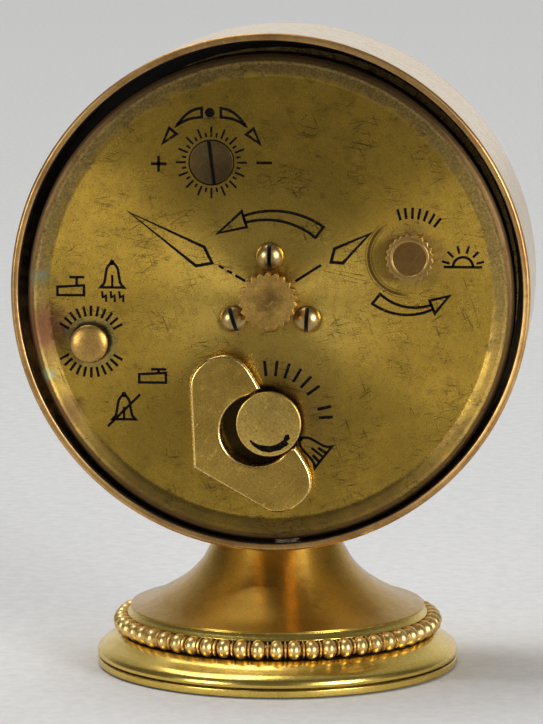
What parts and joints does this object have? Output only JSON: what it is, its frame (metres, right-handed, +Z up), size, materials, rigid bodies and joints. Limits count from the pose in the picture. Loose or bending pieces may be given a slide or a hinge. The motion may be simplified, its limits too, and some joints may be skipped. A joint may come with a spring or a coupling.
{
  "type": "pedestal alarm clock",
  "caption": "Small round key-wound alarm clock with a brass drum case on a flared, beaded foot, setting knobs and a folding key behind.",
  "frame": {"origin": "centre of the base pad's underside, on the floor under the foot's axis", "axes": "+Z up; the dial faces -Y; the back cover with its knobs, regulator, stop button and winding key faces +Y; +X is to the right for someone reading the dial"},
  "size_m": [0.06, 0.0428, 0.0752],
  "materials": {
    "felt": "dense dark felt",
    "polished_brass": "polished, lightly worn",
    "bead_brass": "polished beads with brown tarnish in the hollows",
    "satin_brass": "satin, brushed up the flare",
    "aged_brass": "circular brushed, olive with age",
    "copper_brass": "worn, coppery",
    "steel": "worn plain steel",
    "spring_steel": "blued",
    "dial_enamel": "matte off-white paint",
    "hand_black": "satin black",
    "clear_glass": "clear, slightly domed",
    "movement_brass": "plain stamped"
  },
  "bodies": {
    "case": {"base_pad": "felt", "base_ring": "polished_brass", "bead_ring": "bead_brass", "pedestal_flare": "satin_brass", "pedestal_bolt": "steel", "pedestal_nut": "steel", "case_drum": "polished_brass", "front_bezel": "polished_brass", "front_glass": "clear_glass", "dial": "dial_enamel", "back_cover": "aged_brass", "back_screw_1": "steel", "back_screw_2": "steel", "back_screw_3": "steel", "cover_bridge": "movement_brass", "front_plate": "movement_brass", "rear_plate": "movement_brass", "pillar_1": "steel", "pillar_2": "steel", "pillar_3": "steel", "balance_cock": "movement_brass", "sounding_post": "steel", "button_guide": "movement_brass"},
    "hand_setting": {"time_set_knob": "copper_brass", "centre_arbor": "steel", "cannon_pinion": "movement_brass", "minute_hand": "hand_black"},
    "minute_work": {"minute_wheel": "movement_brass"},
    "hour_work": {"hour_wheel": "movement_brass", "hour_hand": "hand_black"},
    "alarm_indicator": {"alarm_wheel": "movement_brass", "alarm_hand": "copper_brass"},
    "alarm_setting": {"alarm_set_knob": "copper_brass", "alarm_set_arbor": "steel"},
    "barrel": {"going_barrel": "movement_brass", "mainspring": "spring_steel"},
    "centre_train": {"centre_wheel": "movement_brass"},
    "third_train": {"third_wheel": "movement_brass"},
    "fourth_train": {"fourth_wheel": "movement_brass"},
    "escape_train": {"escape_wheel": "steel"},
    "lever": {"pallet_lever": "steel"},
    "balance": {"balance_wheel": "copper_brass", "hairspring": "spring_steel"},
    "regulator": {"regulator_lever": "steel"},
    "regulator_adjuster": {"regulator_screw": "steel"},
    "winder": {"winding_arbor": "polished_brass", "key_hinge_pin": "steel"},
    "key": {"key_wing": "polished_brass"},
    "going_winding": {"going_ratchet": "steel", "barrel_arbor": "steel"},
    "alarm_winding": {"alarm_ratchet": "steel", "alarm_barrel_arbor": "steel"},
    "going_pawl": {"going_click": "steel"},
    "alarm_pawl": {"alarm_click": "steel"},
    "alarm_drum": {"alarm_barrel": "movement_brass", "alarm_spring": "spring_steel"},
    "alarm_escape": {"alarm_escape_wheel": "movement_brass"},
    "hammer": {"alarm_hammer": "steel"},
    "button": {"stop_button": "copper_brass"}
  },
  "joints": [
    {"name": "hand_setting_turn", "type": "hinge", "parent": "case", "child": "hand_setting", "pos_m": [0, 0, 0.0446], "axis": [0, 1, 0], "continuous": true},
    {"name": "minute_work_turn", "type": "hinge", "parent": "case", "child": "minute_work", "pos_m": [0.00463, 0, 0.03908], "axis": [0, 1, 0], "continuous": true},
    {"name": "hour_work_turn", "type": "hinge", "parent": "case", "child": "hour_work", "pos_m": [0, 0, 0.0446], "axis": [0, 1, 0], "continuous": true},
    {"name": "alarm_indicator_turn", "type": "hinge", "parent": "case", "child": "alarm_indicator", "pos_m": [0, 0, 0.0446], "axis": [0, 1, 0], "continuous": true},
    {"name": "alarm_setting_turn", "type": "hinge", "parent": "case", "child": "alarm_setting", "pos_m": [-0.01622, 0, 0.04968], "axis": [0, 1, 0], "continuous": true},
    {"name": "third_train_turn", "type": "hinge", "parent": "case", "child": "third_train", "pos_m": [0.0042, 0, 0.05187], "axis": [0, 1, 0], "continuous": true},
    {"name": "barrel_turn", "type": "hinge", "parent": "case", "child": "barrel", "pos_m": [-0.00888, 0, 0.03778], "axis": [0, 1, 0], "continuous": true},
    {"name": "centre_train_turn", "type": "hinge", "parent": "case", "child": "centre_train", "pos_m": [0, 0, 0.0446], "axis": [0, 1, 0], "continuous": true},
    {"name": "fourth_train_turn", "type": "hinge", "parent": "case", "child": "fourth_train", "pos_m": [-0.00219, 0, 0.0552], "axis": [0, 1, 0], "continuous": true},
    {"name": "escape_train_turn", "type": "hinge", "parent": "case", "child": "escape_train", "pos_m": [0.00261, 0, 0.0588], "axis": [0, 1, 0], "continuous": true},
    {"name": "lever_rock", "type": "hinge", "parent": "case", "child": "lever", "pos_m": [0.00664, 0, 0.05679], "axis": [0, 1, 0], "range_deg": [-5, 5]},
    {"name": "balance_swing", "type": "hinge", "parent": "case", "child": "balance", "pos_m": [0.01027, 0, 0.05505], "axis": [0, 1, 0], "range_deg": [-200, 200]},
    {"name": "regulator_adjuster_turn", "type": "hinge", "parent": "case", "child": "regulator_adjuster", "pos_m": [0.00675, 0, 0.06027], "axis": [0, 1, 0], "range_deg": [-45, 45]},
    {"name": "regulator_swing", "type": "hinge", "parent": "case", "child": "regulator", "pos_m": [0.01027, 0, 0.05505], "axis": [0, 1, 0], "range_deg": [-10.64, 10.64]},
    {"name": "winder_turn", "type": "hinge", "parent": "case", "child": "winder", "pos_m": [-0.0001, 0, 0.0304], "axis": [0, 1, 0], "continuous": true},
    {"name": "key_fold", "type": "hinge", "parent": "winder", "child": "key", "pos_m": [-0.0001, 0.0113, 0.0304], "axis": [0.5225, 0, 0.8526], "range_deg": [0, 90]},
    {"name": "going_winding_turn", "type": "hinge", "parent": "case", "child": "going_winding", "pos_m": [-0.00888, 0, 0.03778], "axis": [0, 1, 0], "continuous": true},
    {"name": "alarm_winding_turn", "type": "hinge", "parent": "case", "child": "alarm_winding", "pos_m": [0.0094, 0, 0.03463], "axis": [0, 1, 0], "continuous": true},
    {"name": "going_pawl_swing", "type": "hinge", "parent": "case", "child": "going_pawl", "pos_m": [-0.01971, 0, 0.03586], "axis": [0, 1, 0], "range_deg": [0, 8]},
    {"name": "alarm_pawl_swing", "type": "hinge", "parent": "case", "child": "alarm_pawl", "pos_m": [0.01027, 0, 0.02467], "axis": [0, 1, 0], "range_deg": [0, 8]},
    {"name": "alarm_drum_turn", "type": "hinge", "parent": "case", "child": "alarm_drum", "pos_m": [0.0094, 0, 0.03463], "axis": [0, 1, 0], "continuous": true},
    {"name": "alarm_escape_turn", "type": "hinge", "parent": "case", "child": "alarm_escape", "pos_m": [0.01422, 0, 0.04102], "axis": [0, 1, 0], "continuous": true},
    {"name": "hammer_swing", "type": "hinge", "parent": "case", "child": "hammer", "pos_m": [0.0185, 0, 0.0466], "axis": [0, 1, 0], "range_deg": [-8, 8]},
    {"name": "button_slide", "type": "slide", "parent": "case", "child": "button", "axis": [0, 1, 0], "range_m": [-0.0016, 0]}
  ],
  "couplings": [
    {"joint": "minute_work_turn", "follows": "hand_setting_turn", "ratio": -0.33333},
    {"joint": "hour_work_turn", "follows": "hand_setting_turn", "ratio": 0.083333},
    {"joint": "alarm_setting_turn", "follows": "alarm_indicator_turn", "ratio": -3},
    {"joint": "centre_train_turn", "follows": "third_train_turn", "ratio": -0.16667},
    {"joint": "barrel_turn", "follows": "third_train_turn", "ratio": 0.027778},
    {"joint": "fourth_train_turn", "follows": "third_train_turn", "ratio": -5},
    {"joint": "escape_train_turn", "follows": "third_train_turn", "ratio": 25},
    {"joint": "regulator_swing", "follows": "regulator_adjuster_turn", "ratio": -0.23529},
    {"joint": "going_winding_turn", "follows": "winder_turn", "ratio": -0.3871},
    {"joint": "alarm_winding_turn", "follows": "winder_turn", "ratio": -0.44444},
    {"joint": "alarm_escape_turn", "follows": "alarm_drum_turn", "ratio": -4}
  ]
}
